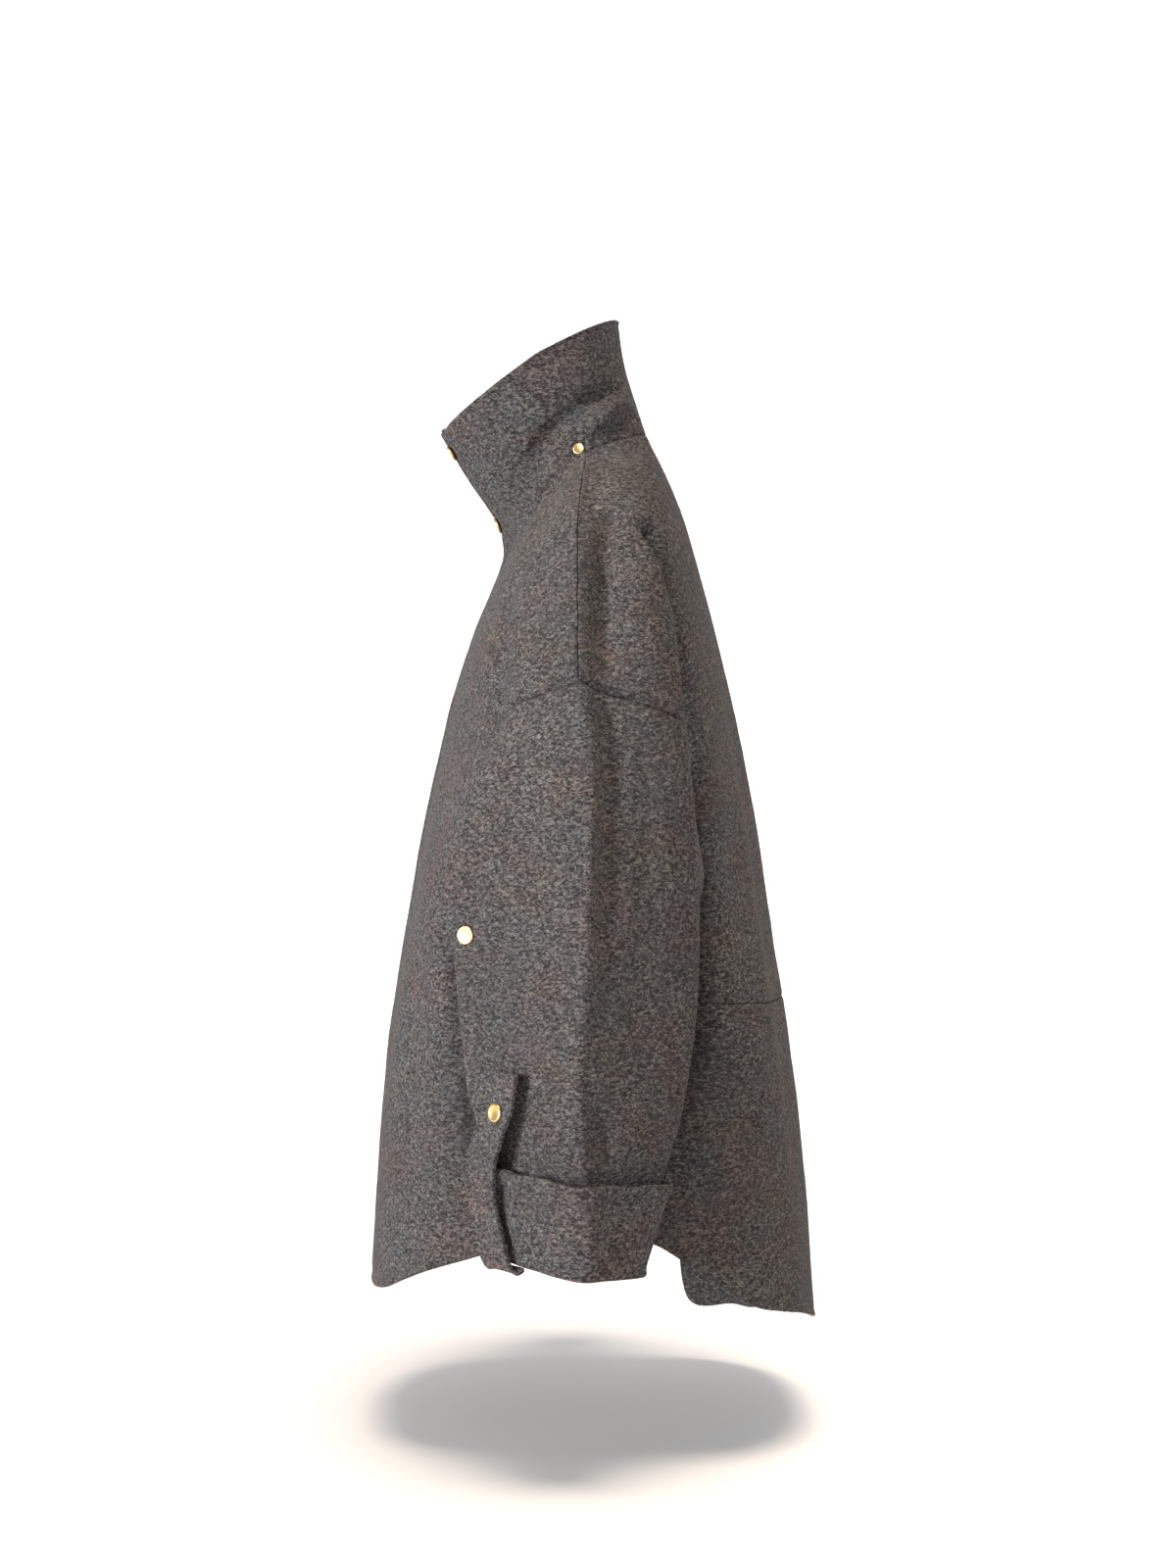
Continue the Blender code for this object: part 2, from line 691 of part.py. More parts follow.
def tab_points(arm, side):
    """(outer points, outward directions) of the strap, three points across."""
    patch = Patch(arm, side)
    last = len(arm) - 1
    over_sleeve = WALL + 2 * TAB_CLEARANCE
    over_rim = RIM_STANDOFF + 2 * WALL + TAB_CLEARANCE
    over_fold = FOLD_STANDOFF + 2 * WALL + TAB_CLEARANCE
    middles = []
    for row, middle_y, over_cuff in TAB_ROUTE:
        share = (row - (last - CUFF_RINGS)) / CUFF_RINGS
        cuff_out = over_rim + (over_fold - over_rim) * share
        out = over_sleeve + (cuff_out - over_sleeve) * over_cuff
        middle, height = strap_support(patch, row, middle_y * MM, out)
        middles.append(middle + np.array((0, 0, height)))
    facing = np.array((math.cos(TAB_FACING) * side, -math.sin(TAB_FACING), 0))
    across = np.cross(facing, (0.0, 0.0, 1.0)) * -side
    depth = over_fold + FOLD_DROP / 2
    for angle in STRAP_TURN:
        turn = math.radians(angle)
        inward = facing * depth / 2 * (math.cos(turn) - 1) + across * TAB_SHIFT * angle / STRAP_TURN[-1]
        down = np.array((0, 0, TAB_DROP * math.sin(turn)))
        middles.append(middles[len(TAB_ROUTE) - 1] + inward - down)
    rows, outs = [], []
    for k, middle in enumerate(middles):
        way = middles[min(k + 1, len(middles) - 1)] - middles[max(k - 1, 0)]
        out = np.cross(way, across) * side
        out /= np.linalg.norm(out)
        rows.append([middle + across * TAB_WIDTH * share for share in (-0.5, 0, 0.5)])
        outs.append(out)
    return rows, outs


def add_tab(name, arm, side):
    cloth = Cloth()
    rows, outs = tab_points(arm, side)
    facing = []
    for i, row in enumerate(rows):
        for j, place in enumerate(row):
            cloth.vertex((i, j), place)
            facing.append(outs[i])
    for i in range(len(rows) - 1):
        for j in range(2):
            corners = [cloth.index[key] for key in ((i, j), (i + 1, j), (i + 1, j + 1), (i, j + 1))]
            cloth.face(corners if side > 0 else corners[::-1], name)
    triangles = [tuple(corners) for corners, _ in cloth.triangles()]
    return add_solid(name, *wall_mesh(cloth.places, np.array(facing), triangles, parted=False))


def add_snap(name, place, facing, radius=SNAP_RADIUS):
    """A cap with a rounded edge, its flat back on place and facing away from the cloth."""
    bm = bmesh.new()
    bmesh.ops.create_cone(
        bm, cap_ends=True, segments=SNAP_SIDES, radius1=radius, radius2=radius, depth=SNAP_HEIGHT
    )
    bmesh.ops.translate(bm, verts=bm.verts[:], vec=(0, 0, SNAP_HEIGHT / 2))
    rim = [e for e in bm.edges if all(v.co.z > SNAP_HEIGHT / 2 for v in e.verts)]
    bmesh.ops.bevel(
        bm, geom=rim, offset=SNAP_EDGE, segments=1, profile=0.5, affect="EDGES", material=-1
    )
    mesh = bpy.data.meshes.new(name)
    bm.to_mesh(mesh)
    bm.free()
    snap = add_object(name, mesh)
    turn = Vector(facing).to_track_quat("Z", "Y").to_matrix().to_4x4()
    snap.matrix_world = Matrix.Translation(Vector(place)) @ turn
    return snap


# Steps of a grid round a cap within which the cloth under it is looked for, and its margin
SEAT_STEPS = np.linspace(-1.5, 1.5, 31)
SEAT_MARGIN = 1.1


def seat(patch, row, column, facing_column, radius, lift=0.0):
    """(place, facing) of a cap on the cloth, clear of the cloth under its whole back."""
    facing = patch.normal(row, facing_column)
    middle = patch.at(row, column)
    highest = 0.0
    for i in SEAT_STEPS:
        for j in SEAT_STEPS:
            away = patch.at(row + i, column + j) - middle
            height = np.dot(away, facing)
            if np.linalg.norm(away - facing * height) < radius * SEAT_MARGIN:
                highest = max(highest, height)
    return middle + facing * (highest + SNAP_SEAT + lift), facing


# Start with an empty scene
for old in list(bpy.data.objects):
    bpy.data.objects.remove(old, do_unlink=True)

jacket = Cloth()
arm_left = add_half(jacket, 1, HEM_LEFT, HEM_LEFT_BEND)
arm_right = add_half(jacket, -1, HEM_RIGHT, HEM_RIGHT_BEND)
outward = jacket.normals()
upper_rows = sum(row.rows for row in NECK + CHEST) + 1
lower_rows = UNDERARM.rows + sum(row.rows for row in BODY) + 1
lift_placket(jacket, -1, upper_rows, lower_rows, outward)
panels = {}
for corners, panel in jacket.triangles():
    panels.setdefault(panel, []).append(tuple(corners))
for panel, triangles in panels.items():
    add_solid(panel, *wall_mesh(jacket.places, outward, triangles))
for name, side, arm in (("left", 1, arm_left), ("right", -1, arm_right)):
    add_cuff("cuff_" + name, arm, side)
    add_tab("tab_" + name, arm, side)
    rows, outs = tab_points(arm, side)
    middle, facing = rows[TAB_SNAP_STOP][1], outs[TAB_SNAP_STOP]
    add_snap("snap_tab_" + name, middle + facing * SNAP_SEAT, facing)
    upper_patch = Patch(grids(HEM_LEFT)[0], side)
    row, column = SLEEVE_SNAP
    add_snap("snap_sleeve_" + name, *seat(upper_patch, row, column, SLEEVE_SNAP_FACING, SNAP_RADIUS))
    row, column = NECK_SNAP
    add_snap(
        "snap_neck_" + name,
        *seat(upper_patch, row, column, column, NECK_SNAP_RADIUS),
        radius=NECK_SNAP_RADIUS,
    )
right_upper = grids(HEM_RIGHT)[0]
front_patch = Patch([[mirrored(ring[1]), ring[0], ring[1]] for ring in right_upper], -1)
for name, row in zip(("top", "throat"), FRONT_SNAPS):
    place, facing = seat(front_patch, row, 1, 1, SNAP_RADIUS, lift=PLACKET_LIFT)
    add_snap("snap_front_" + name, place, facing)
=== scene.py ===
import math
import random

import bmesh
import bpy
import numpy as np
from mathutils import Matrix, Vector, kdtree, noise
from mathutils.bvhtree import BVHTree


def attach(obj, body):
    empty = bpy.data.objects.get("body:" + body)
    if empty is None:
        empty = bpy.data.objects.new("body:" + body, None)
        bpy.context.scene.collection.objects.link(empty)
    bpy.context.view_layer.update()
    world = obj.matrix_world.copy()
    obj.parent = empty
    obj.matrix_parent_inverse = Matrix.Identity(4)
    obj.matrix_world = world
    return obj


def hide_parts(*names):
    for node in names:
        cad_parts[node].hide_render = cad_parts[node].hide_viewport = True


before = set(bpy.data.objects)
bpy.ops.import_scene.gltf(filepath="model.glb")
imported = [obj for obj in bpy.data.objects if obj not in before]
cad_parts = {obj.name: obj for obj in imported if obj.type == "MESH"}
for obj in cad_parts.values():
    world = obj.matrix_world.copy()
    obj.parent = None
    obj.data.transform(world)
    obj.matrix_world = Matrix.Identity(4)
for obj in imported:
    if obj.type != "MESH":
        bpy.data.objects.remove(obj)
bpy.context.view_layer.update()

scene = bpy.context.scene
MM = 0.001

# Camera
# It stands level with the middle of the jacket, on the wearer's left, at the photograph's angle.
# HALF_HEIGHT is half of what it sees, up and down, in the plane through the jacket's middle.
CAMERA_PLACE = (2.3, 0.0026, -0.290)
HALF_HEIGHT = 0.704
SENSOR_WIDTH = 36

eye = bpy.data.objects.new("camera", bpy.data.cameras.new("camera"))
scene.collection.objects.link(eye)
eye.location = CAMERA_PLACE
eye.rotation_euler = Vector((-1, 0, 0)).to_track_quat("-Z", "Y").to_euler()
eye.data.sensor_width = SENSOR_WIDTH
eye.data.lens = eye.data.sensor_width / 2 / (HALF_HEIGHT / CAMERA_PLACE[0])
scene.camera = eye


# Wool cloth
# The coating wool that the whole jacket is cut from: a charcoal melange twill in brown, blue and
# grey fibres, brushed until short light hairs lie slantwise over the dark ground of the weave.
GROUND = (0.019, 0.018, 0.0185)
FIBRE = (0.062, 0.0588, 0.0588)
HAIR = (0.165, 0.157, 0.152)
MAUVE = (1.12, 0.95, 0.96)
BARK = (1.10, 0.98, 0.87)
TEAL = (0.92, 1.01, 1.06)
HAIR_PER_M = 520
CROSS_PER_M = HAIR_PER_M * 0.8
GRAIN_PER_M = HAIR_PER_M * 2.1
HAIR_SLANT = math.radians(38)
HAIR_STRETCH = 0.48
LYING_SCALE = (0.8, HAIR_STRETCH, 1)
CROSS_SCALE = (HAIR_STRETCH, 0.9, 1)
# The crossing hairs are slanted by a share of the slant, and turned round the other two axes
CROSS_SLANT = -0.5
CROSS_TURN = (0.5, 0.2)
PATCH_PER_M = 21
WORN_PER_M = PATCH_PER_M * 0.55
# How much of the nap comes from the hairs that lie one way, those across them and the fine grain
LYING, CROSSING, GRAINY = 0.6, 0.28, 0.12
# Each as (height of the nap or level of the noise, share of the shade there)
FIBRE_STOPS = ((0.40, 0), (0.53, 1))
HAIR_STOPS = ((0.50, 0), (0.66, 1))
WORN_STOPS = ((0.35, 0.22), (0.65, 0))
WORN_TONE = 2.2
# Each as (tint, how far its patches are turned, level of the noise where they set in)
TINTS = ((MAUVE, 0.4, 0.50), (BARK, 1.3, 0.54), (TEAL, 2.2, 0.50))
TURN_SHARES = (1, 0.7, 1.9)
TINT_RISE = 0.16
TINT_SHARE = 0.85
NAP_BUMP = 0.85
NAP_HEIGHT = 1.6 * MM
WOOL_ROUGH, GRAIN_ROUGH = 0.86, 0.12
WOOL_GLOSS = 0.03
SHEEN, SHEEN_ROUGH = 0.02, 0.5
SHEEN_TINT = (0.9, 0.88, 0.86)


class Wire:
    """One output socket, whose sums and products are Math nodes."""

    def __init__(self, tree, socket):
        self.tree = tree
        self.socket = socket

    def math(self, operation, *others):
        return self.tree.add("ShaderNodeMath", {"operation": operation}, [self, *others])

    def __add__(self, other):
        return self.math("ADD", other)

    __radd__ = __add__

    def __mul__(self, other):
        return self.math("MULTIPLY", other)

    __rmul__ = __mul__


class Finish:
    """A material and the one way in which its nodes are made and joined."""

    def __init__(self, name):
        self.made = bpy.data.materials.new(name)
        self.made.use_nodes = True
        self.nodes = self.made.node_tree.nodes
        self.shader = self.nodes["Principled BSDF"]

    def add(self, kind, settings, inputs, output=0):
        node = self.nodes.new(kind)
        for name, value in settings.items():
            if name == "stops":
                while len(node.color_ramp.elements) < len(value):
                    node.color_ramp.elements.new(0.5)
                for stop, (place, shade) in zip(node.color_ramp.elements, value):
                    stop.position, stop.color = place, (shade, shade, shade, 1)
            else:
                setattr(node, name, value)
        pairs = inputs.items() if isinstance(inputs, dict) else enumerate(inputs)
        for name, value in pairs:
            self.join(node.inputs[name], value)
        return Wire(self, node.outputs[output])

    def join(self, socket, value):
        if isinstance(value, Wire):
            self.made.node_tree.links.new(value.socket, socket)
        elif socket.type == "RGBA" and not isinstance(value, float):
            socket.default_value = (*value, 1)
        else:
            socket.default_value = value

    def place(self, scale=(1, 1, 1), turn=(0, 0, 0)):
        at = self.add("ShaderNodeTexCoord", {}, {}, "Object")
        return self.add("ShaderNodeMapping", {}, {"Vector": at, "Scale": scale, "Rotation": turn})

    def clouds(self, at, scale, detail=2.0, rough=0.5, twist=0.0):
        values = {"Vector": at, "Scale": scale, "Detail": detail, "Roughness": rough, "Distortion": twist}
        return self.add("ShaderNodeTexNoise", {}, values)

    def ramp(self, value, *stops):
        return self.add("ShaderNodeValToRGB", {"stops": stops}, {"Fac": value})

    def blend(self, share, a, b, kind="MIX"):
        settings = {"data_type": "RGBA", "blend_type": kind}
        return self.add("ShaderNodeMix", settings, {0: share, 6: a, 7: b}, 2)

    def bump(self, height, strength, depth):
        return self.add("ShaderNodeBump", {}, {"Height": height, "Strength": strength, "Distance": depth})


def wool(name, tone=1.0, slant=HAIR_SLANT):
    """The melange wool. tone lightens the whole cloth and slant is the way that its hairs lie."""
    cloth = Finish(name)
    at = cloth.place()
    lie = cloth.place(scale=LYING_SCALE, turn=(slant, 0, 0))
    across = cloth.place(scale=CROSS_SCALE, turn=(CROSS_SLANT * slant, *CROSS_TURN))
    hairs = cloth.clouds(lie, HAIR_PER_M, detail=2.0, rough=0.55, twist=0.9)
    stray = cloth.clouds(across, CROSS_PER_M, detail=2.0, rough=0.55, twist=1.1)
    grain = cloth.clouds(at, GRAIN_PER_M, detail=1.0, rough=0.5, twist=0.2)
    nap = hairs * LYING + stray * CROSSING + grain * GRAINY
    body = cloth.blend(cloth.ramp(nap, *FIBRE_STOPS), scaled(GROUND, tone), scaled(FIBRE, tone))
    body = cloth.blend(cloth.ramp(nap, *HAIR_STOPS), body, scaled(HAIR, tone))
    for tint, turn, low in TINTS:
        turned = cloth.place(turn=scaled(TURN_SHARES, turn))
        patch = cloth.clouds(turned, PATCH_PER_M, detail=4.0, rough=0.68, twist=0.3)
        share = cloth.ramp(patch, (low, 0), (low + TINT_RISE, TINT_SHARE))
        body = cloth.blend(share, body, cloth.blend(1.0, body, tint, "MULTIPLY"))
    worn = cloth.clouds(at, WORN_PER_M)
    body = cloth.blend(cloth.ramp(worn, *WORN_STOPS), body, scaled(GROUND, WORN_TONE))
    cloth.join(cloth.shader.inputs["Base Color"], body)
    cloth.join(cloth.shader.inputs["Roughness"], WOOL_ROUGH + GRAIN_ROUGH * grain)
    cloth.join(cloth.shader.inputs["Normal"], cloth.bump(nap, NAP_BUMP, NAP_HEIGHT))
    cloth.shader.inputs["Specular IOR Level"].default_value = WOOL_GLOSS
    cloth.shader.inputs["Sheen Weight"].default_value = SHEEN
    cloth.shader.inputs["Sheen Roughness"].default_value = SHEEN_ROUGH
    cloth.shader.inputs["Sheen Tint"].default_value = (*SHEEN_TINT, 1)
    return cloth.made


def scaled(values, share):
    """A colour made lighter or darker, or any three values times a share."""
    return tuple(value * share for value in values)


# Body and sleeves
# Two fronts, each with its half of the collar grown on, a back in two parts, and two wide
# sleeves set in low. They are sewn into one shell, so it is shaped as one and then parted again
# into its pieces along the seams, each turned in and given the cloth's thickness.
WALL = 2.4 * MM
WALL_SLACK = 0.004 * MM
SEAM_REACH = 1.0 * MM
SEAM_GAP = 0.3 * MM
RIM_ROUND = 0.9 * MM
RIM_STEPS = 2
RIM_ANGLE = math.radians(62)
SHELL_LEVELS = 3
QUAD_ANGLE = math.radians(50)
QUAD_SKEW = math.radians(60)
# The share of its error that the rounded sheet makes good in each round
HOLD = 0.9
# Each piece with a point (x, y) of the upright line that its cloth goes round
PANELS = {
    "front_left": (0, 0.02), "front_right": (0, 0.02), "back_upper": (0, 0.02),
    "back_lower": (0, 0.02), "sleeve_left": (0.262, 0), "sleeve_right": (-0.262, 0),
}


def outer_side(name, hollow):
    """The outer side of a solid's cloth wall, in four-sided faces. hollow is what it goes round."""
    bm = bmesh.new()
    bm.from_mesh(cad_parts[name].data)
    bmesh.ops.remove_doubles(bm, verts=bm.verts[:], dist=WALL_SLACK)
    bmesh.ops.recalc_face_normals(bm, faces=bm.faces[:])
    across = [e for e in bm.edges if abs(e.calc_length() - WALL) < WALL_SLACK]
    rim = {f for e in across for f in e.link_faces}
    bmesh.ops.delete(bm, geom=list(rim), context="FACES")
    left, sides = set(bm.faces), []
    while left:
        todo, side = [left.pop()], []
        while todo:
            face = todo.pop()
            side.append(face)
            near = {f for e in face.edges for f in e.link_faces} & left
            left -= near
            todo += near
        sides.append(side)
    middle = Vector((*hollow, 0))

    def faces_out(side):
        return sum(f.calc_area() * f.normal.xy.dot((f.calc_center_median() - middle).xy) for f in side)

    outside = max(sides, key=faces_out)
    spare = [f for side in sides for f in side if side is not outside]
    bmesh.ops.delete(bm, geom=spare, context="FACES")
    bmesh.ops.join_triangles(
        bm, faces=bm.faces[:], cmp_seam=False, cmp_sharp=False, cmp_uvs=False, cmp_vcols=False,
        cmp_materials=False, angle_face_threshold=QUAD_ANGLE, angle_shape_threshold=QUAD_SKEW,
    )
    return bm


def as_object(name, bm):
    """An object at the origin from a mesh in the making, which it uses up."""
    mesh = bpy.data.meshes.new(name)
    bm.to_mesh(mesh)
    bm.free()
    made = bpy.data.objects.new(name, mesh)
    scene.collection.objects.link(made)
    return made


def smoothed(piece):
    """Shades a piece as one curved surface."""
    for polygon in piece.data.polygons:
        polygon.use_smooth = True


def rounded(bm, levels, rounds=3, corners="ALL"):
    """A subdivision surface that passes through the points of the sheet it is made from."""
    piece = as_object("rounding", bm)
    aim = np.array([v.co for v in piece.data.vertices])
    modifier = piece.modifiers.new("Round", "SUBSURF")
    modifier.levels = modifier.render_levels = levels
    modifier.boundary_smooth = corners
    for turn in range(rounds):
        bpy.context.view_layer.update()
        result = piece.evaluated_get(bpy.context.evaluated_depsgraph_get())
        reached = np.array([result.data.vertices[i].co for i in range(len(aim))])
        held = np.array([v.co for v in piece.data.vertices]) + HOLD * (aim - reached)
        piece.data.vertices.foreach_set("co", held.ravel())
        piece.data.update()
    bpy.context.view_layer.update()
    result = piece.evaluated_get(bpy.context.evaluated_depsgraph_get())
    out = bmesh.new()
    out.from_mesh(bpy.data.meshes.new_from_object(result))
    bpy.data.objects.remove(piece)
    return out


shell = bmesh.new()
panel_of = shell.faces.layers.int.new("panel")
for number, (name, hollow) in enumerate(PANELS.items()):
    side = outer_side(name, hollow)
    layer = side.faces.layers.int.new("panel")
    for face in side.faces:
        face[layer] = number
    part_mesh = bpy.data.meshes.new(name)
    side.to_mesh(part_mesh)
    side.free()
    shell.from_mesh(part_mesh)
bmesh.ops.remove_doubles(shell, verts=shell.verts[:], dist=SEAM_REACH)
shell = rounded(shell, SHELL_LEVELS)
panel_of = shell.faces.layers.int["panel"]
form = BVHTree.FromBMesh(shell)

# The snaps press into the cloth, so their places are needed here. Those far from the middle face
# away from the sleeve's own middle, the others from the body's.
SLEEVE_MIDDLE = 0.26
SLEEVE_FROM = 0.2
SNAPS = [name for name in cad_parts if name.startswith("snap_")]


def cap_of(name):
    """(middle of the flat back, the way the cap faces) of a snap's solid."""
    points = np.array([v.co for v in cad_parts[name].data.vertices])
    middle = points.mean(0)
    way = np.linalg.svd(points - middle)[2][2]
    beside = SLEEVE_MIDDLE * np.sign(middle[0]) if abs(middle[0]) > SLEEVE_FROM else 0
    outward = middle - np.array((beside, 0, middle[2]))
    way *= np.sign(way @ outward)
    return Vector(middle + way * (points - middle).dot(way).min()), Vector(way)


# Creases. Each row has the cloth that it is on (body, arm or all), a line of points in mm on the
# outside of the left half, its depth in mm (minus stands out), its half width in mm, how deep it is
# on the right half as a share, and how fast it begins.
CREASES = (
    # collar: the soft band from the nape to the throat, the ridge under it and the hollow at the seam
    ("body", ((28, 44, 66), (51, 24, 57), (66, 7, 46), (70, -10, 34), (69, -27, 20), (64, -40, 3),
              (58, -49, -17), (51, -52, -36)), 10.0, 8, 0.8, 5),
    ("body", ((30, 44, 52), (52, 28, 39), (68, 7, 21), (69, -10, 9)), -5.5, 7, 0.9, 5),
    ("body", ((26, 48, 36), (44, 37, 31), (64, 20, 17)), 5.2, 6, 0.8, 5),
    # from the neck snap to the throat
    ("body", ((70, -6, 4), (65, -27, -15), (58, -40, -33), (53, -48, -54)), -3.0, 8, 0.8, 4),
    # front valley, from below the shoulder to the chest
    ("all", ((131, -50, -78), (172, -52, -107), (178, -62, -136), (193, -69, -185),
              (202, -71, -226), (243, -68, -270)), 6.0, 9, 0.8, 4),
    # sharp trough behind the shoulder seam, which runs on behind the sleeve's pressed ridge
    ("all", ((172, 21, -64), (179, 20, -70), (201, 16, -97), (230, 15, -147), (244, 15, -184),
              (254, 16, -214)), 8.0, 7.5, 0.7, 12),
    ("arm", ((254, 16, -214), (269, 20, -259), (285, 21, -313), (295, 20, -367), (302, 17, -443),
              (304, 13, -489)), 10.5, 11, 0.85, 8),
    ("arm", ((307, -7, -497), (305, 1, -516), (302, 8, -536)), 4.0, 5, 0.4, 8),
    ("arm", ((302, 10, -538), (301, 12, -558), (297, 17, -600)), 8.0, 9, 1.1, 8),
    ("body", ((201, 41, -97), (231, 46, -155), (246, 51, -211)), -3.6, 13, 0.9, 4),
    # pressed ridge down the sleeve
    ("all", ((259, 8, -216), (285, 7, -290), (300, 4, -367), (306, 2, -443), (306, -4, -494),
              (305, -3, -544), (302, 2, -596)), -3.4, 5.5, 0.9, 5),
    ("body", ((168, 6, -62), (225, 4, -131), (257, 4, -204)), -1.6, 6, 0.9, 5),
    # deep valley between the shoulder and the back, and the hollows where the body turns in under
    # the edges of the sleeve
    ("body", ((178, 52, -70), (182, 56, -83), (185, 66, -114), (189, 73, -145), (186, 79, -185),
              (184, 83, -219), (178, 90, -262)), 22.0, 9, 0.9, 9),
    ("body", ((178, 92, -262), (183, 95, -300), (188, 94, -340), (192, 91, -380), (195, 87, -419),
              (198, 87, -451), (200, 82, -515), (202, 68, -579),
              (207, 57, -642)), 20.0, 14, 0.9, 6),
    ("body", ((204, -112, -380), (191, -107, -419), (190, -102, -451), (190, -98, -484),
              (189, -95, -516), (191, -92, -548), (196, -83, -580), (200, -78, -644),
              (202, -76, -680)), 9.0, 10, 0.8, 5),
    # soft waves of the sleeve's front face and lower part
    ("arm", ((242, -76, -282), (257, -83, -345), (260, -88, -391)), 2.6, 15, 0.6, 4),
    ("arm", ((289, -37, -429), (292, -34, -490), (285, -44, -544),
              (284, -40, -583)), -2.4, 14, 1.2, 4),
    ("arm", ((258, 50, -259), (270, 50, -329), (278, 46, -399), (282, 42, -476),
              (282, 38, -545)), 4.2, 15, 0.8, 4),
    ("arm", ((258, 34, -239), (260, 46, -259), (264, 56, -290)), 2.4, 8, 0.7, 5),
    # round the strap's end and above the cuff's rim, where they press the sleeve in
    ("arm", ((248, -94, -575), (250, -91, -548), (256, -88, -524), (261, -81, -516),
              (272, -66, -518), (284, -48, -524)), 2.4, 4, 1.0, 8),
    ("arm", ((258, -72, -585), (270, -60, -586), (289, -30, -596), (301, 5, -600),
              (284, 30, -604), (262, 50, -604)), 3.2, 6, 1.0, 8),
    # body front and back, as soft hanging waves
    ("body", ((76, -140, -341), (120, -142, -421), (145, -146, -521), (148, -150, -603),
              (156, -152, -692)), 3.6, 20, 1.1, 4),
    ("body", ((120, -128, -300), (165, -122, -400), (176, -122, -480), (178, -124, -580),
              (180, -122, -690)), -3.0, 16, 0.8, 4),
    ("body", ((50, -128, -250), (62, -150, -350), (70, -165, -450), (76, -180, -560),
              (78, -186, -660)), 2.6, 22, 0.9, 4),
    ("body", ((70, 120, -170), (84, 140, -260), (92, 152, -380), (100, 160, -500),
              (108, 168, -640), (112, 172, -740)), 3.4, 22, 0.9, 4),
    ("body", ((104, 130, -290), (114, 141, -374), (143, 147, -455), (161, 146, -536),
              (168, 148, -640)), -3.4, 20, 0.8, 4),
    ("body", ((24, 110, -130), (30, 150, -260), (34, 168, -400), (36, 180, -560),
              (38, 190, -700)), -2.6, 24, 1.1, 4),
)
WAVE = 0.8 * MM
WAVE_PER_M = 17
RIPPLE = 0.22 * MM
RIPPLE_PER_M = 75
SNAP_DIMPLE = 1.0 * MM
DIMPLE_WIDE = 9 * MM
DIMPLE_REACH = 14 * MM
CREASE_STEPS = 14
CREASE_REACH = 2.4
CREASE_END = 3.0
# Along its way a crease's depth varies by the noise, and its width grows from START_WIDE
EVEN, UNEVEN = 0.8, 0.4
ALONG_PER_NOISE, ROW_PER_NOISE, SIDE_PER_NOISE = 3.1, 1.7, 2.3
START_WIDE, END_WIDER = 0.85, 0.5
RIGHT_WIDER = 1.1


def crease_points(points, side, surface):
    """The crease's line laid on the cloth: a fine row of points, each with its share along it."""
    line = [Vector(p) * MM for p in points]
    if side < 0:
        line = [Vector((-p.x, p.y, p.z)) for p in line]
    line = [surface.find_nearest(p)[0] for p in line]
    out = []
    for k, (a, b) in enumerate(zip(line, line[1:])):
        for step in range(CREASE_STEPS):
            share = step / CREASE_STEPS
            out.append((surface.find_nearest(a.lerp(b, share))[0], (k + share) / (len(line) - 1)))
    return out


def fade(share, start):
    """1 along most of a crease and 0 at both its ends. It begins as fast as start says."""
    return min(1.0, start * share, CREASE_END * (1 - share))


def crease_moves(bm, creases, surfaces, kinds, sides=(1, -1)):
    """How far each vertex sinks. surfaces are the forms by kind, and kinds each vertex's kind."""
    moves = np.zeros(len(bm.verts))
    tree = kdtree.KDTree(len(bm.verts))
    for i, v in enumerate(bm.verts):
        tree.insert(v.co, i)
    tree.balance()
    for number, (kind, line, depth, width, other, start) in enumerate(creases):
        for side in sides:
            share = 1.0 if side > 0 else other
            best = {}
            for place, along in crease_points(line, side, surfaces[kind]):
                spot = (along * ALONG_PER_NOISE, number * ROW_PER_NOISE, side * SIDE_PER_NOISE)
                uneven = EVEN + UNEVEN * noise.noise(Vector(spot))
                wide = width * MM * (START_WIDE + END_WIDER * along) * (RIGHT_WIDER if side < 0 else 1)
                for co, i, away in tree.find_range(place, wide * CREASE_REACH):
                    if kind in ("all", kinds[i]):
                        value = fade(along, start) * uneven * math.exp(-((away / wide) ** 2))
                        best[i] = max(best.get(i, -1), value)
            for i, value in best.items():
                moves[i] -= depth * share * MM * value
    return moves, tree


def faces_of(bm, keep):
    """A search tree of the faces whose panel's number keep allows."""
    part = bm.copy()
    layer = part.faces.layers.int["panel"]
    others = [f for f in part.faces if not keep(f[layer])]
    bmesh.ops.delete(part, geom=others, context="FACES")
    tree = BVHTree.FromBMesh(part)
    part.free()
    return tree


# The right front laps over the left one, this far to both sides of the middle. It is pressed down
# on it, most at its edge, and has a dent where its closing row is sewn.
LAP_HALF = 14 * MM
LAP_PRESS = 0.8 * MM
EDGE_PRESS = 0.7 * MM
CLOSE_ROW = 6 * MM
CLOSE_DENT = 1.6 * MM
CLOSE_WIDE = 2.6 * MM
NUMBER = {name: number for number, name in enumerate(PANELS)}
lapped = faces_of(shell, lambda number: number == NUMBER["front_left"])
ARMS = {NUMBER["sleeve_left"], NUMBER["sleeve_right"]}
surfaces = {
    "all": form,
    "arm": faces_of(shell, lambda number: number in ARMS),
    "body": faces_of(shell, lambda number: number not in ARMS),
}
HEM_SWELL = 0.9 * MM
SEAM_DIP = 2.2 * MM
BACK_SEAM = {NUMBER["back_upper"], NUMBER["back_lower"]}
# How deep a seam dips, as a share of SEAM_DIP: the back's cross seam, an armhole and any other
BACK_DIP, ARM_DIP, OTHER_DIP = 0.45, 1.3, 0.7


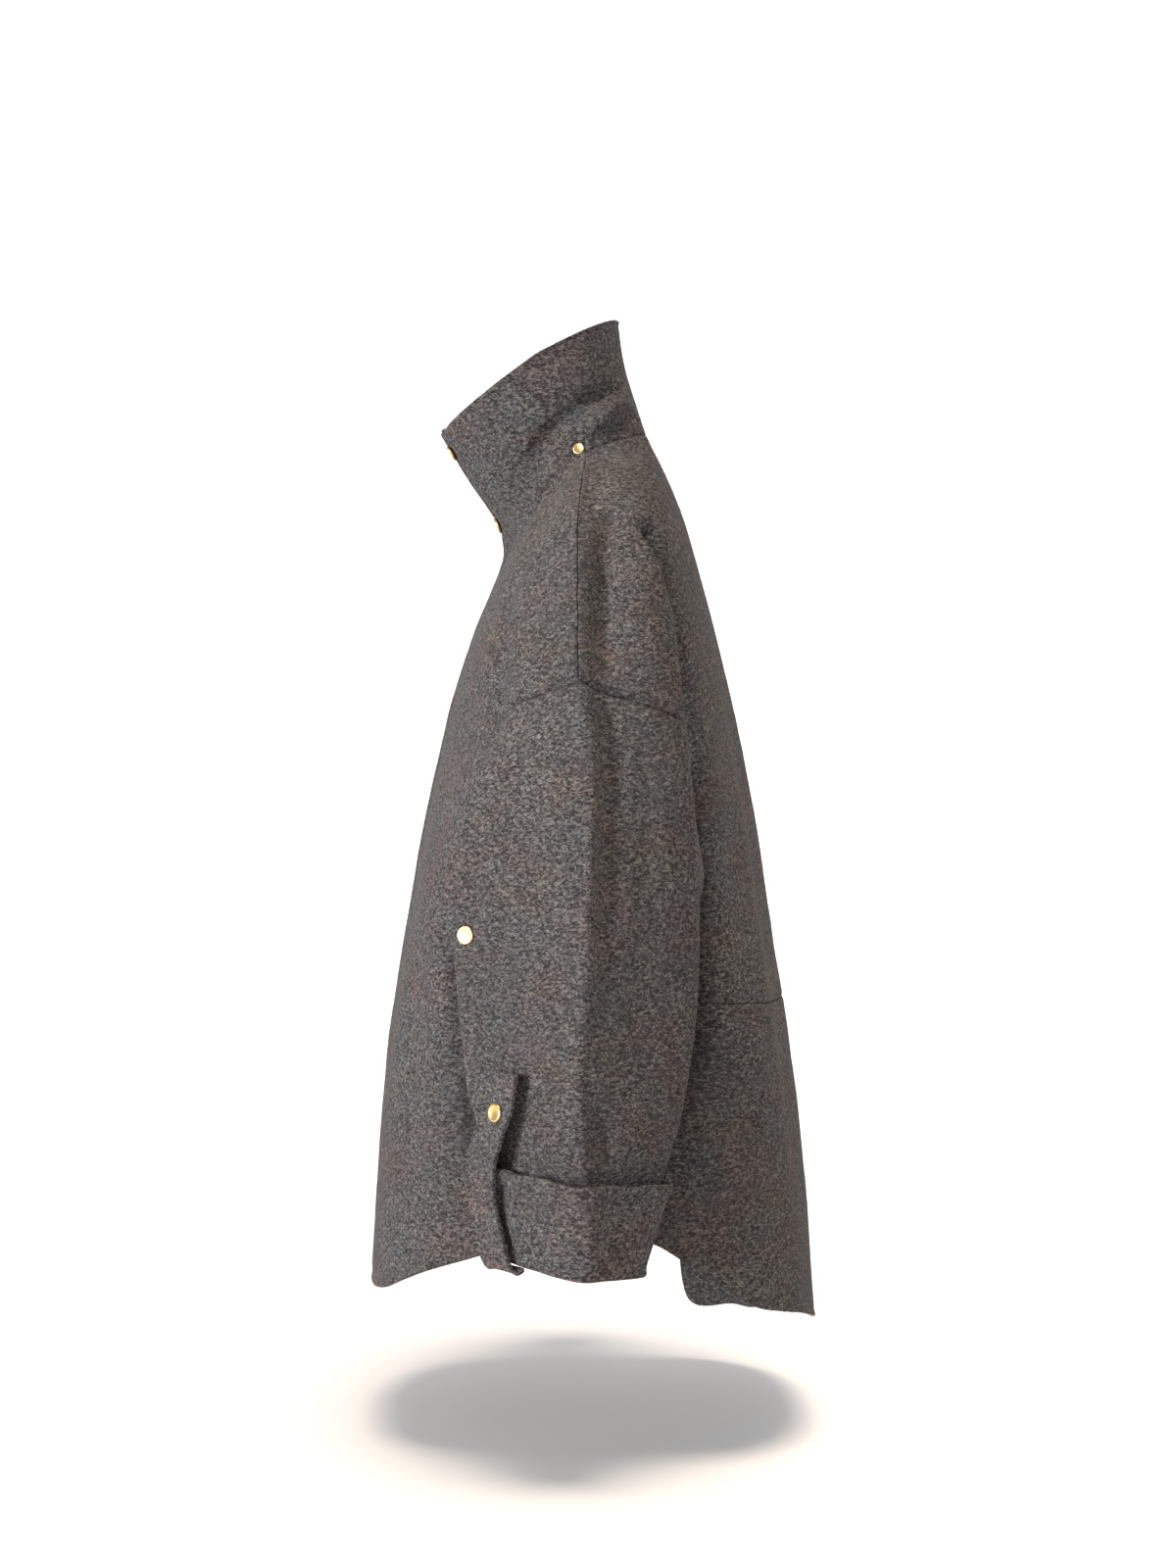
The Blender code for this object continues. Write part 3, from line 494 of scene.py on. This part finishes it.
def fold_cloth(bm):
    """Sinks and raises the cloth along the creases, adds its soft waves, and dips the seams."""
    bm.normal_update()
    kinds = ["arm" if v.link_faces[0][panel_of] in ARMS else "body" for v in bm.verts]
    moves, tree = crease_moves(bm, CREASES, surfaces, kinds)
    for i, v in enumerate(bm.verts):
        moves[i] += WAVE * noise.noise(v.co * WAVE_PER_M)
        moves[i] += RIPPLE * noise.noise(v.co * RIPPLE_PER_M)
        if v.is_boundary and not (v.co.y < 0 and abs(v.co.x) < 2 * LAP_HALF):
            moves[i] += HEM_SWELL
    for name in SNAPS:
        if not name.startswith("snap_tab"):
            for co, i, away in tree.find_range(cap_of(name)[0], DIMPLE_REACH):
                moves[i] -= SNAP_DIMPLE * math.exp(-((away / DIMPLE_WIDE) ** 4))
    for i, v in enumerate(bm.verts):
        closed = (v.co.x / LAP_HALF + 1) / 2
        if v.co.y < 0 and v.link_faces[0][panel_of] == NUMBER["front_right"] and closed > 0:
            stand = (v.co - lapped.find_nearest(v.co)[0]).dot(v.normal)
            press = LAP_PRESS + EDGE_PRESS * max(0, v.co.x / LAP_HALF) ** 2
            moves[i] -= max(0, stand - WALL + press) * min(1, closed) ** 0.5
            moves[i] -= CLOSE_DENT * math.exp(-(((v.co.x - CLOSE_ROW) / CLOSE_WIDE) ** 2))
    for i, v in enumerate(bm.verts):
        joined = {f[panel_of] for f in v.link_faces}
        if len(joined) > 1:
            share = BACK_DIP if joined == BACK_SEAM else ARM_DIP if joined & ARMS else OTHER_DIP
            moves[i] -= SEAM_DIP * share
    for v, move in zip(list(bm.verts), moves):
        v.co += v.normal * move
    bm.normal_update()


def finish_cloth(piece, material, slot, node, flat, area, held="hung", wall=WALL, rim=RIM_ROUND):
    """Gives a sheet its thickness, turned edges and material, and hides the solid that it stands for."""
    smoothed(piece)
    thick = piece.modifiers.new("Wall", "SOLIDIFY")
    thick.thickness, thick.offset, thick.use_even_offset = wall, -1, False
    turned = piece.modifiers.new("Edge", "BEVEL")
    turned.width, turned.segments, turned.limit_method = rim, RIM_STEPS, "ANGLE"
    turned.angle_limit = RIM_ANGLE
    turned.harden_normals = True
    piece.data.materials.clear()
    piece.data.materials.append(material)
    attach(piece, "root")
    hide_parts(node)


fold_cloth(shell)
folded = BVHTree.FromBMesh(shell)
jacket_wool = wool("wool_melange")
# The size of each piece laid flat, and how much cloth is in it
FLAT = {
    "front_left": ((0.46, 0.90), 0.225), "front_right": ((0.46, 0.90), 0.225),
    "back_upper": ((0.66, 0.62), 0.25), "back_lower": ((0.64, 0.34), 0.175),
    "sleeve_left": ((0.46, 0.47), 0.15), "sleeve_right": ((0.46, 0.47), 0.15),
}
for name, number in NUMBER.items():
    part = shell.copy()
    layer = part.faces.layers.int["panel"]
    others = [f for f in part.faces if f[layer] != number]
    bmesh.ops.delete(part, geom=others, context="FACES")
    part.normal_update()
    shift = {}
    for e in part.edges:
        if len(e.link_faces) == 1:
            face = e.link_faces[0]
            inward = face.normal.cross(e.verts[1].co - e.verts[0].co).normalized()
            if inward.dot(face.calc_center_median() - e.verts[0].co) < 0:
                inward = -inward
            for v in e.verts:
                shift[v] = shift.get(v, Vector()) + inward
    for v, inward in shift.items():
        v.co += inward.normalized() * SEAM_GAP / 2
    finish_cloth(as_object(name + "_cloth", part), jacket_wool, "wool", name, *FLAT[name])


# Topstitching
# Rows of charcoal thread sewn through the wool by machine, and pulled down into its nap. The
# shoulder seams have a row on both sides, the armholes and the back's cross seam have one, and a
# row each holds the neck's turned edge and the closing edge down.
STITCH_PITCH = 4.2 * MM
STITCH_SIZE = (1.55 * MM, 0.42 * MM, 0.30 * MM)
THREAD_DARK = (0.010, 0.010, 0.011)
THREAD_LIGHT = (0.035, 0.033, 0.033)
PLY_PER_M = 2400
PLY_TURN = (0.6, 0.6, 0)
THREAD_ROUGH, PLY_ROUGH = 0.6, 0.2
# Each as (the piece it lies on, the piece beside it), mm from the seam, the height it stops at
STITCH_ROWS = (
    (("front_left", "back_upper"), 7.0, -0.25), (("back_upper", "front_left"), 5.0, -0.25),
    (("front_right", "back_upper"), 7.0, -0.25), (("back_upper", "front_right"), 5.0, -0.25),
    (("front_left", "sleeve_left"), 6.0, -0.60), (("back_upper", "sleeve_left"), 6.0, -0.60),
    (("front_right", "sleeve_right"), 6.0, -0.60), (("back_upper", "sleeve_right"), 6.0, -0.60),
    (("back_upper", "back_lower"), 6.0, -0.60),
)
# The neck's row in mm, from the shoulder to the middle of the back
NECK_ROW = (
    (111, -2, -23), (111, 11, -23), (117, 24, -25), (124, 40, -33), (104, 66, -40), (60, 90, -44),
    (0, 98, -46),
)
NECK_STEPS = 5
# The row down the closing edge of the right front
CLOSE_TOP = 0.045
CLOSE_PITCH = 10 * MM
CLOSE_STEPS = 80


def seam_runs(on, beside, lowest):
    """The seam's vertices in order, as runs, each vertex with the way onto the piece named on."""
    pair = {NUMBER[on], NUMBER[beside]}
    seam = [e for e in shell.edges if {f[panel_of] for f in e.link_faces} == pair]
    seam = dict.fromkeys(e for e in seam if e.verts[0].co.z > lowest)
    ends = {}
    for e in seam:
        for v in e.verts:
            ends.setdefault(v, []).append(e)
    runs = []
    while seam:
        start = next((v for v, es in ends.items() if sum(e in seam for e in es) == 1), None)
        start = start or next(iter(seam)).verts[0]
        run, at = [start], start
        while True:
            ahead = next((e for e in ends[at] if e in seam), None)
            if ahead is None:
                break
            del seam[ahead]
            at = ahead.other_vert(at)
            run.append(at)
        onto = []
        for v in run:
            own = [f for f in v.link_faces if f[panel_of] == NUMBER[on]]
            onto.append(sum((f.calc_center_median() - v.co for f in own), Vector()))
        runs.append(list(zip([v.co.copy() for v in run], [v.normal.copy() for v in run], onto)))
    return runs


def poured(small, into):
    """Adds a small mesh to a large one. Many small pieces are made in handfuls, which is quicker."""
    mesh = bpy.data.meshes.new("handful")
    small.to_mesh(mesh)
    small.free()
    into.from_mesh(mesh)
    bpy.data.meshes.remove(mesh)


def stitch_row(run, away):
    """One row of stitches at a distance from a run of points."""
    bm = bmesh.new()
    row = []
    for k, (co, normal, onto) in enumerate(run):
        along = (run[min(k + 1, len(run) - 1)][0] - run[max(k - 1, 0)][0]).normalized()
        across = normal.cross(along)
        across *= 1 if across.dot(onto) > 0 else -1
        row.append(folded.find_nearest(co + across.normalized() * away)[0])
    gone = 0.0
    for a, b in zip(row, row[1:]):
        span = (b - a).length
        while gone < span:
            place, normal = folded.find_nearest(a.lerp(b, gone / span))[:2]
            turn = Matrix((b - a, normal.cross(b - a), normal)).transposed()
            turn = Matrix([v.normalized() for v in turn.transposed()]).transposed().to_4x4()
            at = Matrix.Translation(place) @ turn @ Matrix.Diagonal((*STITCH_SIZE, 1))
            bmesh.ops.create_icosphere(bm, subdivisions=1, radius=1, matrix=at)
            gone += STITCH_PITCH
        gone -= span
    return bm


thread = Finish("charcoal_thread")
ply = thread.clouds(thread.place(turn=PLY_TURN), PLY_PER_M, detail=1.0)
thread.join(thread.shader.inputs["Base Color"], thread.blend(ply, THREAD_DARK, THREAD_LIGHT))
thread.join(thread.shader.inputs["Roughness"], THREAD_ROUGH + PLY_ROUGH * ply)
bm = bmesh.new()
for side in (1, -1):
    line = [folded.find_nearest(Vector((x * side, y, z)) * MM)[0] for x, y, z in NECK_ROW]
    steps = [a.lerp(b, k / NECK_STEPS) for a, b in zip(line, line[1:]) for k in range(NECK_STEPS)]
    steps += line[-1:]
    poured(stitch_row([(co, folded.find_nearest(co)[1], Vector()) for co in steps], 0), bm)
close_row = []
for step in range(CLOSE_STEPS):
    hit = folded.ray_cast(Vector((CLOSE_ROW, -1, CLOSE_TOP - step * CLOSE_PITCH)), Vector((0, 1, 0)))
    if hit[0]:
        close_row.append((hit[0], hit[1], Vector()))
poured(stitch_row(close_row, 0), bm)
for (on, beside), away, lowest in STITCH_ROWS:
    for run in seam_runs(on, beside, lowest):
        poured(stitch_row(run, away * MM), bm)
stitches = as_object("topstitching", bm)
smoothed(stitches)
stitches.data.materials.append(thread.made)
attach(stitches, "root")


# Cuffs
# The sleeve's end turned back once over itself, so the wool's inner side shows. The top rim is
# a turned edge that stands a little off the sleeve, and the bottom is the soft fold.
CUFF_LEVELS = 3
CUFF_WALL = 3.0 * MM
RIM_STAND = 1.6 * MM
RIM_WAVE = 2.2 * MM
RIM_DEPTH = 9 * MM
RIM_ABOVE = -630 * MM
RIM_EVEN = 0.7
RIM_PER_M = 31
LIFT_PER_M = 42
LIFT_SLICE = 3.1
CUFF_WAVE = 0.6 * MM
CUFF_WAVE_PER_M = 24
CUFF_RIPPLE = 0.2 * MM
CUFF_RIPPLE_PER_M = 80
CUFF_MIDDLE = 0.262
CUFF_FLAT = (0.32, 0.095)
ROUND_SHARE = 0.42
CUFF_CREASES = (
    ("all", ((281, -60, -592), (278, -64, -605), (273, -67, -622), (271, -67, -640),
              (275, -61, -658), (278, -56, -668)), 4.6, 6.5, 1.0, 9),
    ("all", ((300, 14, -604), (296, 18, -625), (291, 22, -650), (286, 24, -668)), 2.6, 9, 0.8, 5),
    ("all", ((300, -2, -600), (297, 0, -630), (291, 2, -665)), -2.2, 6, 0.9, 6),
    ("all", ((286, -38, -640), (280, -44, -655), (276, -48, -668)), -1.6, 8, 1.1, 5),
)
cuff_wool = wool("wool_cuff", tone=1.03, slant=-HAIR_SLANT)
rims = []
for side, middle in (("left", CUFF_MIDDLE), ("right", -CUFF_MIDDLE)):
    cuff = rounded(outer_side("cuff_" + side, (middle, 0)), CUFF_LEVELS)
    cuff.normal_update()
    near = BVHTree.FromBMesh(cuff)
    kinds = ["all"] * len(cuff.verts)
    own_side = [math.copysign(1, middle)]
    moves = crease_moves(cuff, CUFF_CREASES, {"all": near}, kinds, own_side)[0]
    top = [v.co.copy() for v in cuff.verts if v.is_boundary and v.co.z > RIM_ABOVE]
    rim = kdtree.KDTree(len(top))
    for i, place in enumerate(top):
        rim.insert(place, i)
    rim.balance()
    for i, v in enumerate(cuff.verts):
        by_rim = math.exp(-((rim.find(v.co)[2] / RIM_DEPTH) ** 2))
        moves[i] += RIM_STAND * by_rim * (RIM_EVEN + noise.noise(v.co * RIM_PER_M))
        moves[i] += CUFF_WAVE * noise.noise(v.co * CUFF_WAVE_PER_M)
        moves[i] += CUFF_RIPPLE * noise.noise(v.co * CUFF_RIPPLE_PER_M)
        lift = RIM_WAVE * by_rim * noise.noise(Vector((v.co.y * LIFT_PER_M, LIFT_SLICE, 0)))
        v.co += v.normal * moves[i] + Vector((0, 0, lift))
    cuff.normal_update()
    rims.append(cuff.copy())
    piece = as_object("cuff_" + side + "_cloth", cuff)
    finish_cloth(
        piece, cuff_wool, "wool_cuff", "cuff_" + side, CUFF_FLAT, None, "folded",
        wall=CUFF_WALL, rim=CUFF_WALL * ROUND_SHARE,
    )


# Straps
# A doubled strip of the same wool that holds each cuff up. Its top end is snapped to the sleeve,
# it lies over the cuff, and it turns in under the fold.
STRAP_LEVELS = 3
STRAP_CURL = 1.0 * MM
STRAP_WAVE = 0.7 * MM
STRAP_WAVE_PER_M = 38
STRAP_MIDDLE = 0.255
STRAP_FLAT = (0.033, 0.165)
strap_wool = wool("wool_strap", tone=1.07, slant=HAIR_SLANT / 2)
for side, middle in (("left", STRAP_MIDDLE), ("right", -STRAP_MIDDLE)):
    strap = outer_side("tab_" + side, (middle, 0))
    strap = rounded(strap, STRAP_LEVELS, 2, "PRESERVE_CORNERS")
    strap.normal_update()
    for v in strap.verts:
        wave = STRAP_WAVE * noise.noise(v.co * STRAP_WAVE_PER_M)
        v.co += v.normal * (STRAP_CURL * v.is_boundary + wave)
    strap.normal_update()
    rims.append(strap.copy())
    piece = as_object("strap_" + side, strap)
    finish_cloth(
        piece, strap_wool, "wool_strap", "tab_" + side, STRAP_FLAT, None, "folded",
        wall=CUFF_WALL, rim=CUFF_WALL * ROUND_SHARE,
    )


# Stray hairs
# Single wool fibres that the brushing has lifted out of the cloth. They stand along the raw turn
# of each edge and, more thinly, all over the cloth, so its outline is soft.
EDGE_HAIRS_PER_M = 700
HAIRS_PER_M2 = 6000
HANDFUL = 60
HAIR_LENGTH = (1.2 * MM, 3.0 * MM)
HAIR_WIDTH = 0.16 * MM
TIP_SHARE = 0.2
SUNK_SHARE = 0.4
EDGE_SPREAD = 0.9
FACE_SPREAD = 1.3
draw = random.Random(7)


def add_hair(bm, root, way):
    """One hair: a thin three-sided spike that stands in the cloth and leans along way."""
    length = draw.uniform(*HAIR_LENGTH)
    turn = way.to_track_quat("Z", "Y").to_matrix().to_4x4()
    at = Matrix.Translation(root + way.normalized() * length * SUNK_SHARE) @ turn
    bmesh.ops.create_cone(
        bm, cap_ends=True, segments=3, radius1=HAIR_WIDTH, radius2=HAIR_WIDTH * TIP_SHARE,
        depth=length, matrix=at,
    )


def any_way():
    """A seeded random way, to lean a hair by."""
    return Vector((draw.uniform(-1, 1), draw.uniform(-1, 1), draw.uniform(-1, 1)))


def hairs_on(name, sheets):
    """One piece with the hairs of some sheets, given with their walls: first edges, then faces."""
    roots = []
    for sheet, wall in sheets:
        for e in sheet.edges:
            if e.is_boundary:
                face = e.link_faces[0]
                a, b = (v.co for v in e.verts)
                out = ((a + b) / 2 - face.calc_center_median()).normalized()
                for k in range(int(e.calc_length() * EDGE_HAIRS_PER_M + draw.random())):
                    root = a.lerp(b, draw.random()) - face.normal * wall * draw.random()
                    roots.append((root, out + EDGE_SPREAD * any_way()))
        for f in sheet.faces:
            if draw.random() < f.calc_area() * HAIRS_PER_M2:
                roots.append((f.calc_center_median(), f.normal + FACE_SPREAD * any_way()))
    bm = bmesh.new()
    for first in range(0, len(roots), HANDFUL):
        handful = bmesh.new()
        for root, way in roots[first : first + HANDFUL]:
            add_hair(handful, root, way)
        poured(handful, bm)
    piece = as_object(name, bm)
    piece.data.materials.append(hair_wool.made)
    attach(piece, "root")


SHADES_PER_M = 160
SHADE_STOPS = ((0.35, 0), (0.65, 1))
hair_wool = Finish("wool_hairs")
shades = hair_wool.ramp(hair_wool.clouds(hair_wool.place(), SHADES_PER_M), *SHADE_STOPS)
hair_wool.join(hair_wool.shader.inputs["Base Color"], hair_wool.blend(shades, FIBRE, HAIR))
hair_wool.shader.inputs["Roughness"].default_value = 0.9
hairs_on("hairs_jacket", [(shell, WALL)])
hairs_on("hairs_cuffs", [(sheet, CUFF_WALL) for sheet in rims])


# Brass snaps
# Spring snaps with a thin pressed cap: a flat disc with a rolled edge and a shallow dish, set
# through the wool. They hold the collar, the front, the sleeves and the straps.
SNAP_STEPS = 40
# Half a section of the cap in mm: (how far from the axis, how high)
SNAP_PROFILE = (
    (0, 2.0), (4.6, 2.15), (5.6, 2.45), (6.4, 2.6), (7.0, 2.35), (7.4, 1.7), (7.4, 0.6), (7.1, 0), (0, 0),
)
NECK_SCALE = 5.0 / 7.4
SNAP_REACH = 12
CAP_MERGE = 0.001
BRASS = (0.76, 0.54, 0.22)
BRASS_WORN = (0.84, 0.63, 0.30)
TARNISH_PER_M = 160
TARNISH_STOPS = ((0.35, 0), (0.75, 1))
BRASS_ROUGH, TARNISH_ROUGH = 0.24, 0.12
brass = Finish("brass_cap")
tarnish = brass.clouds(brass.place(), TARNISH_PER_M)
tone = brass.blend(brass.ramp(tarnish, *TARNISH_STOPS), BRASS, BRASS_WORN)
brass.join(brass.shader.inputs["Base Color"], tone)
brass.join(brass.shader.inputs["Roughness"], BRASS_ROUGH + TARNISH_ROUGH * tarnish)
brass.shader.inputs["Metallic"].default_value = 1.0
for name in SNAPS:
    place, way = cap_of(name)
    scale = NECK_SCALE if "neck" in name else 1.0
    if not name.startswith("snap_tab"):
        ahead = folded.ray_cast(place + way * SNAP_REACH * MM, -way)
        if ahead[0]:
            place = ahead[0]
    bm = bmesh.new()
    points = [bm.verts.new((r * scale, 0, z * scale)) for r, z in SNAP_PROFILE]
    edges = [bm.edges.new(pair) for pair in zip(points, points[1:])]
    bmesh.ops.spin(
        bm, geom=points + edges, cent=(0, 0, 0), axis=(0, 0, 1), angle=math.tau, steps=SNAP_STEPS,
        use_merge=True,
    )
    bmesh.ops.remove_doubles(bm, verts=bm.verts[:], dist=CAP_MERGE)
    bmesh.ops.recalc_face_normals(bm, faces=bm.faces[:])
    bmesh.ops.scale(bm, verts=bm.verts[:], vec=(MM, MM, MM))
    at = Matrix.Translation(place) @ way.to_track_quat("Z", "Y").to_matrix().to_4x4()
    bmesh.ops.transform(bm, verts=bm.verts[:], matrix=at)
    cap = as_object(name + "_cap", bm)
    smoothed(cap)
    cap.data.materials.append(brass.made)
    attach(cap, "root")
    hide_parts(name)


# Studio
# A pale floor close under the hem that curves up far behind into a backdrop, in soft light that
# comes mainly from the front of the jacket.
FLOOR = -0.85
# The floor's section across its width, as (x, how high above the floor)
SWEEP = ((-3.4, 3.2), (-3.4, 1.1), (-3.1, 0.45), (-2.5, 0.08), (-1.8, 0), (4.5, 0))
FLOOR_WIDTH = 10
PAPER = (0.74, 0.76, 0.78)
ROOM = (1, 0.93, 0.88)
ROOM_STRENGTH = 0.46
# Wide far lights, each as (name, the way it comes from, strength, spread in degrees, colour)
LIGHTS = (
    ("window", (0.58, -0.80, 0.10), 5.25, 20, (1.0, 1.0, 1.0)),
    ("fill", (0.20, 0.97, 0.15), 0.85, 40, (1.0, 0.97, 0.94)),
    ("overhead", (0.10, 0.05, 1.0), 3.4, 30, (1.0, 0.83, 0.68)),
)
bm = bmesh.new()
row = [bm.verts.new((x, -FLOOR_WIDTH / 2, FLOOR + z)) for x, z in SWEEP]
edges = [bm.edges.new(pair) for pair in zip(row, row[1:])]
grown = bmesh.ops.extrude_edge_only(bm, edges=edges)
far_row = [g for g in grown["geom"] if isinstance(g, bmesh.types.BMVert)]
bmesh.ops.translate(bm, verts=far_row, vec=(0, FLOOR_WIDTH, 0))
bmesh.ops.recalc_face_normals(bm, faces=bm.faces[:])
floor = as_object("floor", bm)
smoothed(floor)
paper = Finish("pale_paper")
paper.shader.inputs["Base Color"].default_value = (*PAPER, 1)
paper.shader.inputs["Roughness"].default_value = 0.95
paper.shader.inputs["Specular IOR Level"].default_value = 0.1
floor.data.materials.append(paper.made)

world = bpy.data.worlds.new("studio")
scene.world = world
world.use_nodes = True
world.node_tree.nodes["Background"].inputs["Color"].default_value = (*ROOM, 1)
world.node_tree.nodes["Background"].inputs["Strength"].default_value = ROOM_STRENGTH
scene.view_settings.view_transform = "Standard"
for name, way, strength, spread, colour in LIGHTS:
    lamp = bpy.data.objects.new(name, bpy.data.lights.new(name, "SUN"))
    scene.collection.objects.link(lamp)
    lamp.rotation_euler = Vector(way).to_track_quat("Z", "Y").to_euler()
    lamp.data.energy, lamp.data.angle, lamp.data.color = strength, math.radians(spread), colour
